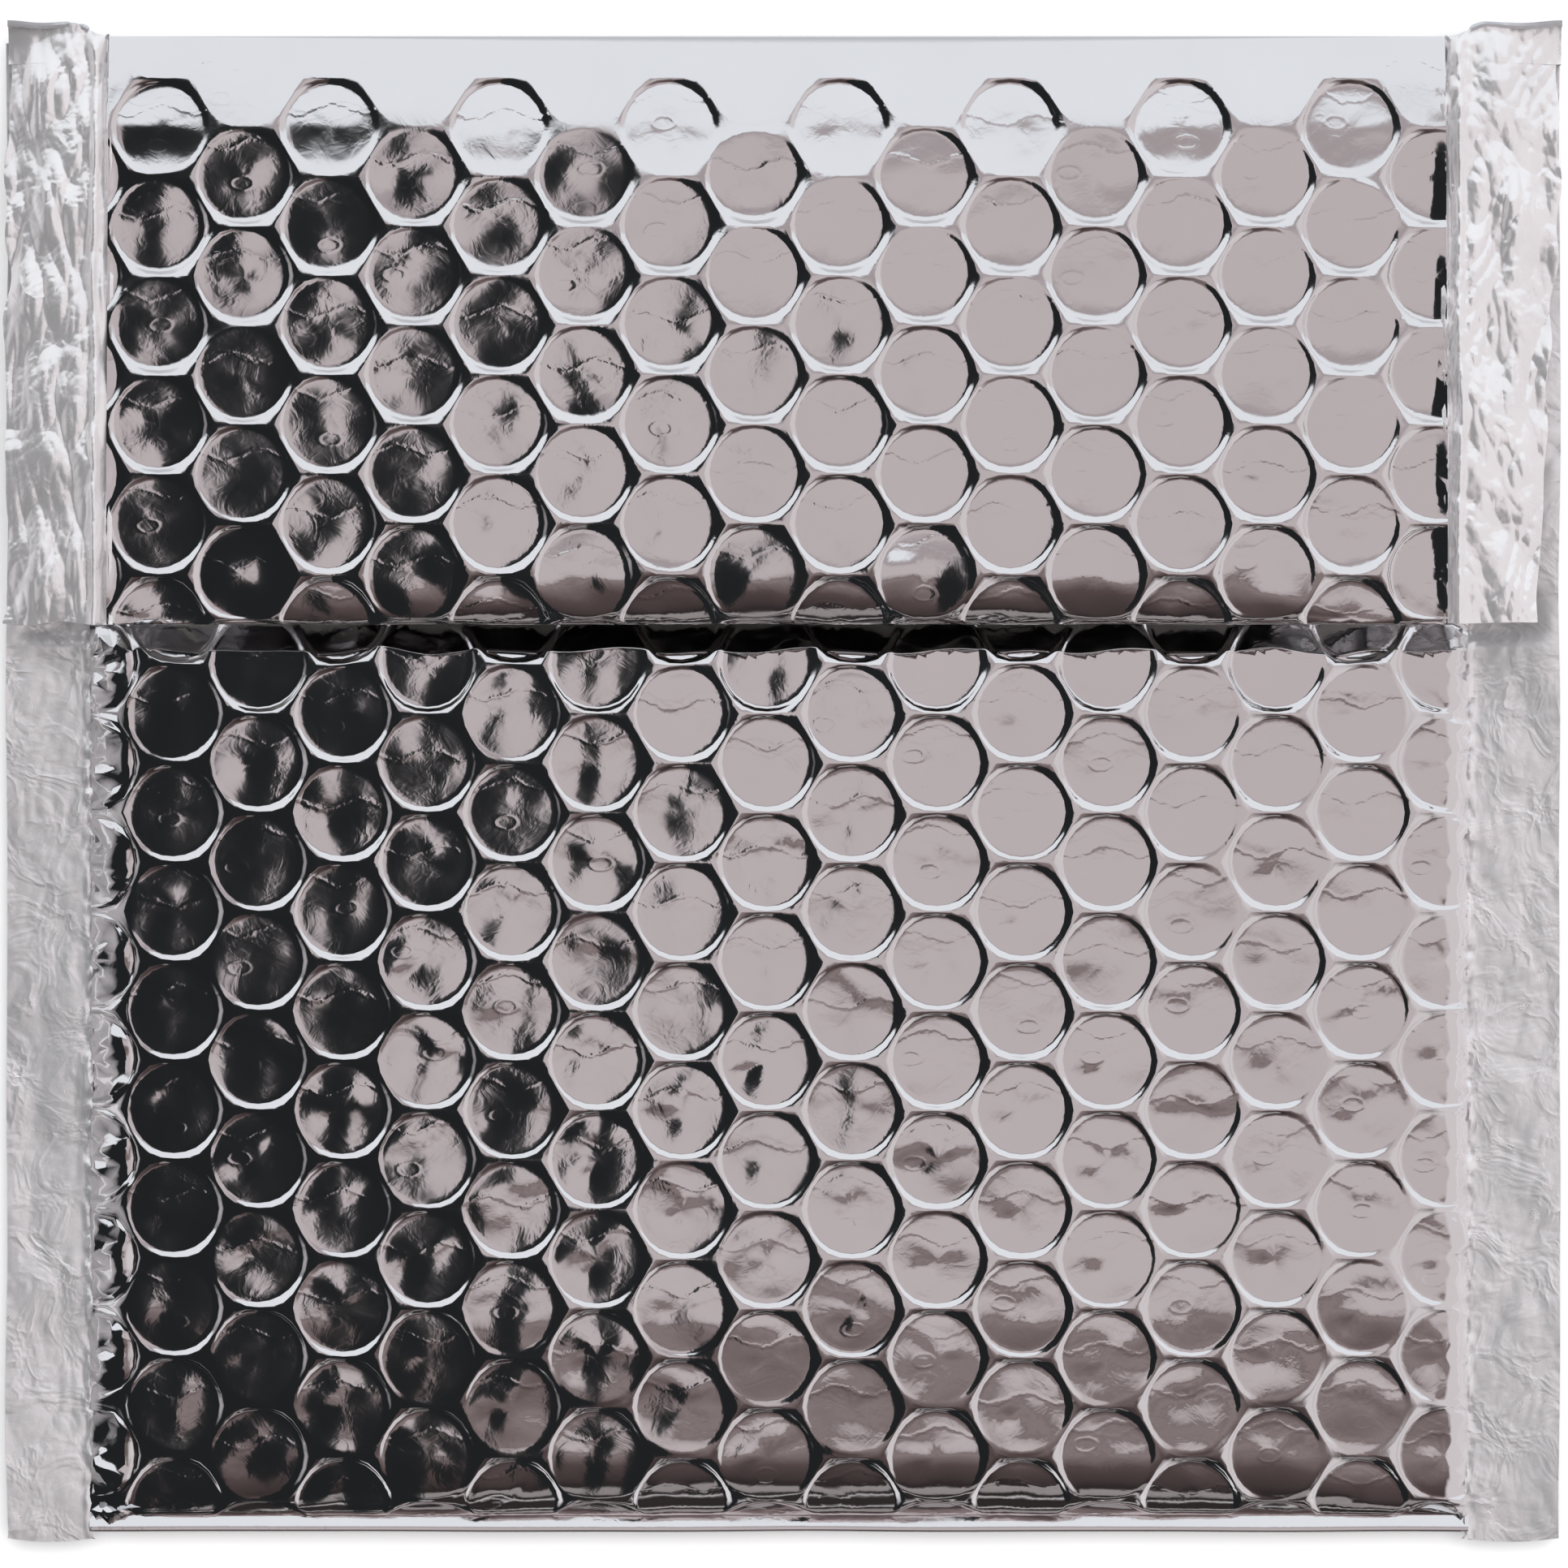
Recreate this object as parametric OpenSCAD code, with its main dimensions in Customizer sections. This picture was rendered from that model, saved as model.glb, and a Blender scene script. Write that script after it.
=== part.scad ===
// Padded bubble mailer of metallised film, lying on its back with the flap folded shut.
// +X is to the right, +Y points to the top fold, +Z is up. The origin is on the table, under the centre.
// Each panel is a laminate of three films: the metallised foil outside, sunk a little into a
// six-sided dish over every air cell; the bubble film, whose round cups point into the mailer;
// and a flat inner film over the ends of the cups. The three lie flat together where there are no cells.

/* [Mailer] */
// Overall width, across both side seals
mailer_w = 178; // [176:1:182]
// Length from the bottom lip to the top fold
mailer_l = 171; // [171:1:172]
// How far the side seals stand out past the body at each end
ear_out = 1.5; // [1:0.5:2]

/* [Bubble laminate] */
// Thickness of each of the three films
film_t = 0.2; // [0.2:0.05:0.25]
// Height of the laminate over its cells, from the middle of its plain film to the outside of the foil
cell_h = 4; // [3:0.5:4.5]
// Outside diameter of a cup of the bubble film
cell_d = 10.2; // [9:0.1:10.4]
// Distance between neighbouring columns of cells
pitch_x = 9.68; // [9.6:0.02:9.7]
// Distance between neighbouring cells in one column
pitch_y = 11.3; // [11.2:0.05:11.4]
// Distance between opposite corners of the dish in the foil over each cell
dish_d = 12; // [9:0.25:12]
// Depth of each dish
dish_depth = 0.5; // [0.3:0.1:1]

/* [Pocket] */
// Free height inside the empty pocket
pocket_gap = 4.6; // [4.6:0.2:8]
// Width of the flat weld on the left
weld_left_w = 9.5; // [9:0.5:10]
// Width of the flat weld on the right
weld_right_w = 10.5; // [10:0.5:11]
// Run of the gathered wall from the left weld to the cells
wall_left_run = 4.2; // [3:0.1:5]
// Run of the gathered wall from the right weld to the cells
wall_right_run = 1.3; // [1:0.1:3]
// Run of the wall from the bottom lip to the cells
wall_bottom_run = 4.6; // [4:0.1:5]
// Width of the flat lip along the bottom fold
lip_w = 1.9; // [1.5:0.1:2]
// Distance from the top fold down to the mouth of the pocket
mouth_drop = 7.5; // [7:0.5:9]

/* [Flap] */
// Length of the flap, from the top fold to its free edge
flap_l = 67.2; // [67:0.1:68]
// Width of the flap's left side seal
flap_seal_left_w = 11.6; // [11:0.1:12]
// Width of the flap's right side seal at the fold
flap_seal_right_w = 13.4; // [13:0.1:13.5]
// How much narrower the right side seal gets towards the free edge
flap_taper = 3; // [0:0.5:3]
// Gap between the closed flap and the front panel
closure_gap = 0.9; // [0.8:0.1:1.5]
// Run of the slope where cells end at a cut edge, a seal or the plain strip by the fold
edge_run = 2.4; // [2:0.1:3]

/* [Closure strip] */
// Width of the adhesive strip
adhesive_w = 12; // [8:1:16]
// Distance from the flap's free edge to the adhesive strip
adhesive_edge = 5.7; // [5:0.1:8]
// How far the release liner stands out past the adhesive on every side
liner_margin = 2; // [1:0.5:3]
// Vertical clearance between the adhesive and its release liner
liner_clear = 0.1; // [0.1:0.05:0.2]

/* [Hidden] */
$fn = 48;
eps = 0.01;

// Laminate: three films about a middle plane
laminate_t = 3 * film_t;
half_t = laminate_t / 2;

// Heights of the middle planes of the three panels' plain film
back_z = cell_h;
front_z = back_z + half_t + pocket_gap + half_t;
flap_z = front_z + cell_h + closure_gap + half_t;

// Side seals and panels, in X
left_x = -mailer_w / 2;
right_x = mailer_w / 2;
pocket_left_x = left_x + weld_left_w;
pocket_right_x = right_x - weld_right_w;
cells_left_x = pocket_left_x + wall_left_run;
cells_right_x = pocket_right_x - wall_right_run;
flap_inset = 0.5; // the flap's left edge lies this far inside the pocket's
flap_left_x = left_x + flap_inset + flap_seal_left_w;
flap_edge_x = right_x - 0.1;
flap_right_x = flap_edge_x - flap_seal_right_w;

// Folds and edges, in Y
fold_y = mailer_l / 2;
crease_y = fold_y - half_t;
crease_clear = 0.55; // from a crease's axis to the film on each side of it
film_end_y = crease_y - crease_clear;
lip_y = -mailer_l / 2;
pocket_bottom_y = lip_y + lip_w;
cells_bottom_y = pocket_bottom_y + wall_bottom_run;
mouth_y = fold_y - mouth_drop;
ear_y = fold_y + ear_out;
flap_free_y = fold_y - flap_l;
plain_y = fold_y - 4.6; // the plain film by the fold starts here

// Thickness of a gathered wall, measured along the table
wall_t = 0.5;

// First cell of each panel: its column's X, and its Y
front_cells = [-69.5, 8.2];
back_cells = [-67.76, 0];
flap_cells = [-70.9, 74.1];
columns = 16;
rows = 9; // rows looked at on each side of the first cell

// True where a whole cup at p fits the rectangle from low to high
function fits(p, low, high) =
    p[0] - cell_d / 2 > low[0] && p[0] + cell_d / 2 < high[0] &&
    p[1] - cell_d / 2 > low[1] && p[1] + cell_d / 2 < high[1];

// Centres of the cells that fit a rectangle: columns of cells, every other one half a pitch lower
function cell_centres(first, low, high) = [
    for (k = [0 : columns - 1], n = [-rows : rows])
        let (p = [first[0] + k * pitch_x, first[1] + (n - (k % 2) / 2) * pitch_y])
            if (fits(p, low, high)) p
];

// The rectangle of foil over the cells, from its low to its high corner, and the cells in it
back_low = [cells_left_x, cells_bottom_y];
back_high = [cells_right_x, plain_y - edge_run];
back_centres = cell_centres(back_cells, back_low, back_high);
front_low = [cells_left_x, cells_bottom_y];
front_high = [cells_right_x, mouth_y - edge_run];
front_centres = cell_centres(front_cells, front_low, front_high);
flap_low = [flap_left_x, flap_free_y + edge_run];
flap_high = [flap_right_x, plain_y - edge_run];
flap_centres = cell_centres(flap_cells, flap_low, flap_high);

// A box between two corners
module block(low, high) {
    translate(low) cube(high - low);
}

// A flat film over a rectangle, between two heights
module flat_film(low, high, z0, z1) {
    block([low[0], low[1], z0], [high[0], high[1], z1]);
}

// Extrudes an outline drawn in X and Z along Y, from y0 to y1
module along_y(y0, y1) {
    translate([0, y1, 0]) rotate([90, 0, 0]) linear_extrude(height = y1 - y0) children();
}

// Extrudes an outline drawn in Y and Z along X, from x0 to x1
module along_x(x0, x1) {
    translate([x0, 0, 0]) rotate([90, 0, 90]) linear_extrude(height = x1 - x0) children();
}

// The films of a panel are drawn with the outside up, and z = 0 in the middle of the plain film.
// The foil: a sheet whose outline in Y and Z is given, with a six-sided dish over every cell
module foil_film(x0, x1, centres) {
    wall = film_t / cos(30);
    difference() {
        union() {
            along_x(x0, x1) children();
            for (p = centres)
                translate([p[0], p[1], cell_h - dish_depth - film_t])
                    cylinder(d = dish_d, h = dish_depth + film_t - eps, $fn = 6);
        }
        for (p = centres)
            translate([p[0], p[1], cell_h - dish_depth])
                cylinder(d = dish_d - 2 * wall, h = dish_depth + 1, $fn = 6);
    }
}

// The bubble film: a web under the dishes, with a round cup over every cell that ends on the inner film
module bubble_film(low, high, centres) {
    web_top = cell_h - film_t - dish_depth;
    margin = [1.5, 1.5];
    difference() {
        union() {
            flat_film(low + margin, high - margin, web_top - film_t, web_top);
            for (p = centres)
                translate([p[0], p[1], -film_t / 2]) cylinder(d = cell_d, h = web_top);
        }
        for (p = centres)
            translate([p[0], p[1], film_t / 2]) cylinder(d = cell_d - 2 * film_t, h = cell_h);
    }
}

module inner_film(low, high) {
    flat_film(low, high, -half_t, -film_t / 2);
}

// Puts a panel in its place at height z, with its outside up or down
module outside_up(z) {
    translate([0, 0, z]) children();
}

module outside_down(z) {
    translate([0, 0, z]) mirror([0, 0, 1]) children();
}

module back_foil() {
    color("silver") outside_down(back_z) foil_film(back_low[0], back_high[0], back_centres)
        polygon([
            [back_low[1], cell_h - film_t],
            [back_high[1], cell_h - film_t],
            [plain_y, -film_t / 2],
            [film_end_y, -film_t / 2],
            [film_end_y, half_t],
            [plain_y, half_t],
            [back_high[1], cell_h],
            [back_low[1], cell_h]
        ]);
}

module back_bubble_film() {
    color("lightsteelblue") outside_down(back_z) bubble_film(back_low, back_high, back_centres);
}

module back_inner_film() {
    color("whitesmoke") outside_down(back_z)
        inner_film([pocket_left_x, pocket_bottom_y], [pocket_right_x, film_end_y]);
}

module front_foil() {
    color("silver") outside_up(front_z) foil_film(front_low[0], front_high[0], front_centres)
        polygon([
            [front_low[1], cell_h - film_t],
            [front_high[1], cell_h - film_t],
            [mouth_y - film_t, -film_t / 2],
            [mouth_y, -film_t / 2],
            [mouth_y, half_t],
            [front_high[1], cell_h],
            [front_low[1], cell_h]
        ]);
}

module front_bubble_film() {
    color("lightsteelblue") outside_up(front_z) bubble_film(front_low, front_high, front_centres);
}

module front_inner_film() {
    color("whitesmoke") outside_up(front_z) inner_film(front_low, [front_high[0], mouth_y]);
}

// The pocket as a solid block, with all four walls sloped as the side and bottom walls are;
// a side wall is cut to it, so that it meets the bottom wall in a mitre
module between_bottom_walls() {
    along_x(left_x, right_x) polygon([
        [pocket_bottom_y - wall_t, back_z],
        [cells_bottom_y, front_z + cell_h],
        [mouth_y, front_z + cell_h],
        [mouth_y, 0],
        [cells_bottom_y, 0]
    ]);
}

// A side seal: a flat weld strip, and the gathered walls from it up to the front panel's cells and
// down to the back panel's. outer_x is the mailer's edge, weld_x the weld's inner edge,
// cells_x the edge of the cells
module side_seal(outer_x, weld_x, cells_x) {
    away = outer_x > weld_x ? wall_t : -wall_t;
    block([min(outer_x, weld_x), -ear_y, back_z - half_t], [max(outer_x, weld_x), film_end_y, back_z + half_t]);
    intersection() {
        along_y(pocket_bottom_y - wall_t, mouth_y) polygon([
            [weld_x + away, back_z],
            [cells_x, 0],
            [cells_x, film_t],
            [weld_x, back_z - half_t],
            [weld_x, back_z + half_t],
            [cells_x, front_z + cell_h - laminate_t],
            [cells_x, front_z + cell_h]
        ]);
        between_bottom_walls();
    }
}

module left_seal() {
    color("gainsboro") side_seal(left_x, pocket_left_x, cells_left_x);
}

module right_seal() {
    color("gainsboro") side_seal(right_x, pocket_right_x, cells_right_x);
}

// The bottom fold: its flat lip, and the walls up and down to the cells, mitred between the side walls
module bottom_fold() {
    color("gainsboro") intersection() {
        union() {
            along_x(pocket_left_x, pocket_right_x) polygon([
                [lip_y, back_z - half_t],
                [pocket_bottom_y, back_z - half_t],
                [pocket_bottom_y, back_z + half_t],
                [lip_y, back_z + half_t]
            ]);
            along_x(pocket_left_x, pocket_right_x) polygon([
                [pocket_bottom_y - wall_t, back_z],
                [cells_bottom_y, 0],
                [cells_bottom_y, film_t],
                [pocket_bottom_y, back_z - half_t],
                [pocket_bottom_y, back_z + half_t],
                [cells_bottom_y, front_z + cell_h - laminate_t],
                [cells_bottom_y, front_z + cell_h]
            ]);
        }
        along_y(lip_y, cells_bottom_y) polygon([
            [pocket_left_x, back_z - half_t],
            [pocket_left_x, back_z + half_t],
            [cells_left_x, front_z + cell_h - laminate_t],
            [cells_left_x, front_z + cell_h],
            [cells_right_x, front_z + cell_h],
            [cells_right_x, front_z + cell_h - laminate_t],
            [pocket_right_x, back_z + half_t],
            [pocket_right_x, back_z - half_t],
            [cells_right_x, film_t],
            [cells_right_x, 0],
            [cells_left_x, 0],
            [cells_left_x, film_t]
        ]);
    }
}

// Lowest and highest point of the plain strip between the two creases
fold_low_z = back_z + crease_clear;
fold_high_z = flap_z - crease_clear;

module fold_foil() {
    color("silver") block(
        [flap_left_x, fold_y - film_t, fold_low_z],
        [flap_right_x, fold_y, fold_high_z]);
}

module fold_inner_film() {
    color("whitesmoke") block(
        [flap_left_x, fold_y - laminate_t, fold_low_z],
        [flap_right_x, fold_y - film_t, fold_high_z]);
}

// The folded end of a side seal, which bows out past the top fold
module fold_ear(x0, x1) {
    bow = 2 * ear_out;
    along_x(x0, x1) polygon([
        [fold_y - laminate_t, fold_low_z],
        [fold_y, fold_low_z],
        [ear_y, fold_low_z + bow],
        [ear_y, fold_high_z - bow],
        [fold_y, fold_high_z],
        [fold_y - laminate_t, fold_high_z],
        [ear_y - laminate_t, fold_high_z - bow],
        [ear_y - laminate_t, fold_low_z + bow]
    ]);
}

module fold_left_ear() {
    color("gainsboro") fold_ear(left_x + flap_inset, flap_left_x);
}

module fold_right_ear() {
    color("gainsboro") fold_ear(flap_right_x, flap_edge_x);
}

module flap_foil() {
    color("silver") outside_up(flap_z) foil_film(flap_low[0], flap_high[0], flap_centres)
        polygon([
            [flap_free_y, -film_t / 2],
            [flap_free_y + film_t, -film_t / 2],
            [flap_low[1], cell_h - film_t],
            [flap_high[1], cell_h - film_t],
            [plain_y, -film_t / 2],
            [film_end_y, -film_t / 2],
            [film_end_y, half_t],
            [plain_y, half_t],
            [flap_high[1], cell_h],
            [flap_low[1], cell_h],
            [flap_free_y, half_t]
        ]);
}

module flap_bubble_film() {
    color("lightsteelblue") outside_up(flap_z) bubble_film(flap_low, flap_high, flap_centres);
}

module flap_inner_film() {
    color("whitesmoke") outside_up(flap_z)
        inner_film([flap_left_x, flap_free_y], [flap_right_x, film_end_y]);
}

// The gathered wall that closes the side of the flap's cells: it leans outwards from the foil to the seal
module flap_side_wall(cells_x, away) {
    outside_up(flap_z) along_y(flap_low[1], flap_high[1]) polygon([
        [cells_x, half_t],
        [cells_x + away * edge_run, half_t],
        [cells_x, cell_h],
        [cells_x, cell_h - laminate_t],
        [cells_x + away * (edge_run - wall_t), half_t + film_t],
        [cells_x, half_t + film_t]
    ]);
}

module flap_left_seal() {
    color("gainsboro") {
        block(
            [left_x + flap_inset, flap_free_y, flap_z - half_t],
            [flap_left_x, film_end_y, flap_z + half_t]);
        flap_side_wall(flap_left_x, -1);
    }
}

// The right side seal narrows towards the flap's free edge
module flap_right_seal() {
    color("gainsboro") {
        translate([0, 0, flap_z - half_t]) linear_extrude(height = laminate_t) polygon([
            [flap_right_x, flap_free_y],
            [flap_edge_x - flap_taper, flap_free_y],
            [flap_edge_x, film_end_y],
            [flap_right_x, film_end_y]
        ]);
        flap_side_wall(flap_right_x, 1);
    }
}

// The closure: pressure-sensitive adhesive on the flap's inside, and the liner that covers it
adhesive_low = [flap_left_x + 5, flap_free_y + adhesive_edge];
adhesive_high = [flap_right_x - 5, flap_free_y + adhesive_edge + adhesive_w];
adhesive_z = flap_z - half_t - film_t;
liner_z = adhesive_z - liner_clear - film_t;

module adhesive_strip() {
    color("khaki") flat_film(adhesive_low, adhesive_high, adhesive_z, adhesive_z + film_t);
}

module release_liner() {
    margin = [liner_margin, liner_margin];
    color("white") flat_film(adhesive_low - margin, adhesive_high + margin, liner_z, liner_z + film_t);
}

back_foil();
back_bubble_film();
back_inner_film();
front_foil();
front_bubble_film();
front_inner_film();
left_seal();
right_seal();
bottom_fold();
fold_foil();
fold_inner_film();
fold_left_ear();
fold_right_ear();
flap_foil();
flap_bubble_film();
flap_inner_film();
flap_left_seal();
flap_right_seal();
adhesive_strip();
release_liner();
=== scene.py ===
"""Padded bubble mailer of metallised film, lying on its back with the flap folded over the front.

Lengths in the functions below are in millimetres; meshes are written in metres.
"""

import math
from functools import partial

import bmesh
import bpy
import numpy as np
from bpy.props import FloatProperty, FloatVectorProperty, IntProperty, PointerProperty
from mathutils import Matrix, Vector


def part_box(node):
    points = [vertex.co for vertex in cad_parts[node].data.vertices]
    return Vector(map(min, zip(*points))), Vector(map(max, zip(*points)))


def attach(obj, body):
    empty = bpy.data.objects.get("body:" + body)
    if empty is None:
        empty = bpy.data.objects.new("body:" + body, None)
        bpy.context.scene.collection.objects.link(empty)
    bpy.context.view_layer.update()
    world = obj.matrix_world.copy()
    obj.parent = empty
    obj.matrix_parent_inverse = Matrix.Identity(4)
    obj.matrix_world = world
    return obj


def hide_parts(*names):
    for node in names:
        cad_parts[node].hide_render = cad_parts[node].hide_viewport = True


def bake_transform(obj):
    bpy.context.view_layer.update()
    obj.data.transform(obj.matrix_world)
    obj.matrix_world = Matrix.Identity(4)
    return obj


bl_info = {
    "name": "Padded bubble mailer",
    "version": (1, 0, 0),
    "blender": (4, 5, 0),
    "location": "3D View > Sidebar > Mailer",
    "description": "Builds the films, welds, folds and closing strip of a padded bubble mailer",
    "category": "Add Mesh",
}

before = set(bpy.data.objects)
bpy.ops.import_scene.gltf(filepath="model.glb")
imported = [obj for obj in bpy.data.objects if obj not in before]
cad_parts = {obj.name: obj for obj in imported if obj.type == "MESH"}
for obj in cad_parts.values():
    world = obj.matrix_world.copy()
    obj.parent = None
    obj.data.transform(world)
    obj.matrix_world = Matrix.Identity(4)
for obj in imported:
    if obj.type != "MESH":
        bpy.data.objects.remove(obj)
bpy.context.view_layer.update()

MM = 0.001


# ---- places, from the frame

def corners(node):
    """Lowest and highest corner of a frame node, in millimetres."""
    low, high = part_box(node)
    return np.array(low) / MM, np.array(high) / MM


FRONT_LOW, FRONT_HIGH = corners("front_foil")
BACK_LOW, BACK_HIGH = corners("back_inner_film")
FLAP_LOW, FLAP_HIGH = corners("flap_foil")
WELD_LEFT = corners("left_seal")[0][0]
WELD_RIGHT = corners("right_seal")[1][0]
WELD_END_Y = corners("left_seal")[0][1]
FLAP_WELD_LEFT = corners("flap_left_seal")[0][0]
FLAP_WELD_RIGHT = corners("flap_right_seal")[1][0]
FOLD_Y = corners("fold_foil")[1][1]
EAR_Y = corners("fold_left_ear")[1][1]
LIP_Y = corners("bottom_fold")[0][1]
STRIP_Z = corners("adhesive_strip")[1][2]   # top of the adhesive strip, under the flap's inner film

WELD_Z = BACK_HIGH[2]                       # top of the pocket's welds
NOSE_Z = (WELD_Z + FLAP_HIGH[2]) / 2 - 1.2  # height of the top fold's outermost line
FOLD_START_Y = 82.4                         # the top fold's films start here
PANEL_END_Y = 82.6                          # the back and the flap end here, under the fold's films
# lines where a panel starts to roll down, and the length of film that rolls
FRONT_ROLL_Y, FRONT_ROLL = -75.2, 12.0      # the front, down to the lip
FLAP_ROLL_Y, FLAP_ROLL = 25.2, 9.0          # the flap, under its free edge
MOUTH_Y, MOUTH_ROLL = 73.5, 6.0             # the front, down to the mouth
PRESS_Y, PRESS_STEP = 15.5, 3.0             # where the flap presses the front down, and how soon
LEVEL = (0.45, 0.58)                        # how far each cell's floor stays level, across and along
TAPER = 3.0                                 # the flap's right weld narrows this much to its free end
WELD_SEEDS = (61, 71)                       # random draws of the flap's left and right welds
# the centre of one cell of each panel, in the unrolled film
CELL_FIRST = {"front": (-69.5, 8.2), "back": (-67.76, 0.0), "flap": (-70.9, 74.9)}
THICKNESS = {"foil": 0.12, "lining": 0.15, "lip": 0.15, "weld": 0.5, "flap_weld": 0.45, "fold": 0.35}


# ---- small maths

def ease(value, low, high):
    """0 below low, 1 above high, smooth between them."""
    t = np.clip((value - low) / (high - low), 0, 1)
    return t * t * (3 - 2 * t)


def dome(value, reach):
    """0 at the edge of a padded panel, 1 from reach inwards, and round in between."""
    return np.sin(np.clip(value / reach, 0, 1) * math.pi / 2)


def unit(vectors):
    """The same vectors at length 1."""
    return vectors / np.maximum(np.linalg.norm(vectors, axis=-1, keepdims=True), 1e-12)


def arch(x, left, right, crown=8.0):
    """1 at the crown between left and right, falling to 0 at both."""
    t = np.where(x < crown, (crown - x) / (crown - left), (x - crown) / (right - crown))
    return np.clip(1 - t * t, 0, 1)


def drift(x, y, size, seed, waves=9):
    """Smooth random hills about size across, from about -1 to 1."""
    random = np.random.default_rng(seed)
    total = np.zeros(np.broadcast(x, y).shape)
    for _ in range(waves):
        angle, phase = random.uniform(0, 2 * math.pi, 2)
        pace = 2 * math.pi / (size * random.uniform(0.7, 1.6))
        total = total + np.sin((x * math.cos(angle) + y * math.sin(angle)) * pace + phase)
    return total / waves ** 0.5


def crumple(x, y, size, seed):
    """Sharp creases of a crushed film in three sizes, from about -0.4 to 0.8."""
    bend = drift(x, y, size * 1.7, seed + 7) * size * 0.16
    coarse = np.abs(drift(x + bend, y - bend, size, seed))
    middle = np.abs(drift(x - bend, y + bend, size / 2.1, seed + 1))
    fine = np.abs(drift(x, y, size / 4.5, seed + 2))
    return coarse * 0.55 + middle * 0.3 + fine * 0.15 - 0.4


# ---- the mailer's shape

# the closed flap: (y, fall in degrees) along its middle and (y, height) along its sides
FLAP_SLOPES = ((18, 0.5), (30, 1.5), (41, 3), (52, 4), (64, 5.5), (75, 9.5), (80.5, 16), (88, 26))
FLAP_SIDES = ((18, 15.3), (38, 15.1), (52, 13.8), (64, 12.9), (75, 12.2), (80.5, 11.3), (86, NOSE_Z))


def flap_middle(y):
    """Height of the closed flap's foil along its middle: it climbs from the fold to the free edge."""
    steps = np.linspace(18, 88, 281)
    slopes = np.tan(np.radians(np.interp(steps, *zip(*FLAP_SLOPES))))
    fall = np.concatenate(([0], np.cumsum((slopes[1:] + slopes[:-1]) / 2 * np.diff(steps))))
    return FLAP_HIGH[2] - 0.1 - np.interp(y, steps, fall)


def flap_height(x, y):
    """Outside of the closed flap."""
    side = np.interp(y, *zip(*FLAP_SIDES))
    return side + (flap_middle(y) - side) * arch(x, FLAP_LOW[0], FLAP_HIGH[0])


def flap_point(u, v):
    """A point of the flap's foil, which rolls under at the free edge."""
    roll = np.clip((FLAP_ROLL_Y - v) / FLAP_ROLL, 0, 1) * math.pi / 2
    y = np.maximum(v, FLAP_ROLL_Y)
    z = flap_height(u, y) + 0.10 * drift(u * 0.8, v * 1.3, 7, 51) * ease(-v, -30, -23)
    drop = z - STRIP_Z - 0.6
    return u, y + (FLAP_LOW[1] - FLAP_ROLL_Y) * np.sin(roll), z - drop * (1 - np.cos(roll))


def pressed_line(x):
    """How far the line where the front panel bends down under the flap strays from straight."""
    return 0.35 * drift(x, 0, 11, 17)


def front_height(x, y):
    """Outside of the puffed front panel: highest below the flap, with a wall down to each weld."""
    crest_y, crest_z = -22, 14.9
    lower = crest_z - 0.0012 * (np.minimum(y, crest_y) - crest_y) ** 2
    upper = 0.0016 * (np.clip(y, crest_y, 30) - crest_y) ** 2
    pressed = np.clip((y - PRESS_Y - pressed_line(x)) / PRESS_STEP, 0, 1)
    groove = 2.8 * pressed * (1 - ease(y, 21, 44))
    middle = np.minimum(lower - upper - groove, flap_middle(np.maximum(y, 20)) - 5.2)
    side = middle - 3.8 * ease(-y, -76, -45) - 1.0
    top = side + (middle - side) * arch(x, FRONT_LOW[0], FRONT_HIGH[0])
    rise = np.minimum((x - BACK_LOW[0]) / (FRONT_LOW[0] - BACK_LOW[0] + 0.6),
                      (BACK_HIGH[0] - x) / (BACK_HIGH[0] - FRONT_HIGH[0] + 0.6))
    wall = 0.25 * dome(rise, 1) + 0.75 * np.clip(rise, 0, 1)
    return WELD_Z + (top - WELD_Z) * wall


def front_point(u, v):
    """A point of the front panel's foil, which rolls down to the lip and dips to the mouth."""
    roll = np.clip((FRONT_ROLL_Y - v) / FRONT_ROLL, 0, 1) * math.pi / 2
    mouth = np.clip((v - MOUTH_Y) / MOUTH_ROLL, 0, 1) * math.pi / 2
    y = np.clip(v, FRONT_ROLL_Y, MOUTH_Y)
    y = y + pressed_line(u) * np.exp(-((v - PRESS_Y) / PRESS_STEP) ** 2)
    z = front_height(u, y)
    z = WELD_Z + (z - WELD_Z) * np.cos(roll)
    z = z - 3.2 * (1 - np.cos(mouth)) * dome(z - WELD_Z, 5)
    y = y + (BACK_LOW[1] - FRONT_ROLL_Y) * np.sin(roll) + (FRONT_HIGH[1] - MOUTH_Y) * np.sin(mouth)
    return u, y, z


def rolled(y, start, end):
    """Share of a panel's height left where it rolls down between start and end, as a quarter ellipse."""
    return np.sqrt(np.clip(1 - np.clip((start - y) / (start - end), 0, 1) ** 2, 0, 1))


def front_lining_point(u, v):
    """A point of the front panel's surface by its place seen from above, for the lining under it."""
    return u, v, WELD_Z + (front_height(u, v) - WELD_Z) * rolled(v, FRONT_ROLL_Y, BACK_LOW[1])


def flap_lining_point(u, v):
    """A point of the flap's surface by its place seen from above, for the lining under it."""
    drop = flap_height(u, v) - STRIP_Z - 0.6
    return u, v, flap_height(u, v) - drop * (1 - rolled(v, FLAP_ROLL_Y, FLAP_LOW[1]))


def back_height(x, y):
    """Outside of the back panel: flat on the table, rising to the welds and to the top fold."""
    sides = dome(x - BACK_LOW[0], 9) * dome(BACK_HIGH[0] - x, 9) * dome(y - BACK_LOW[1], 9)
    return np.maximum((WELD_Z - 0.6) * (1 - sides), (WELD_Z - 0.4) * ease(y, 66, 81))


def back_point(u, v):
    """A point of the back panel's foil and of its lining."""
    return u, v, back_height(u, v)


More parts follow.
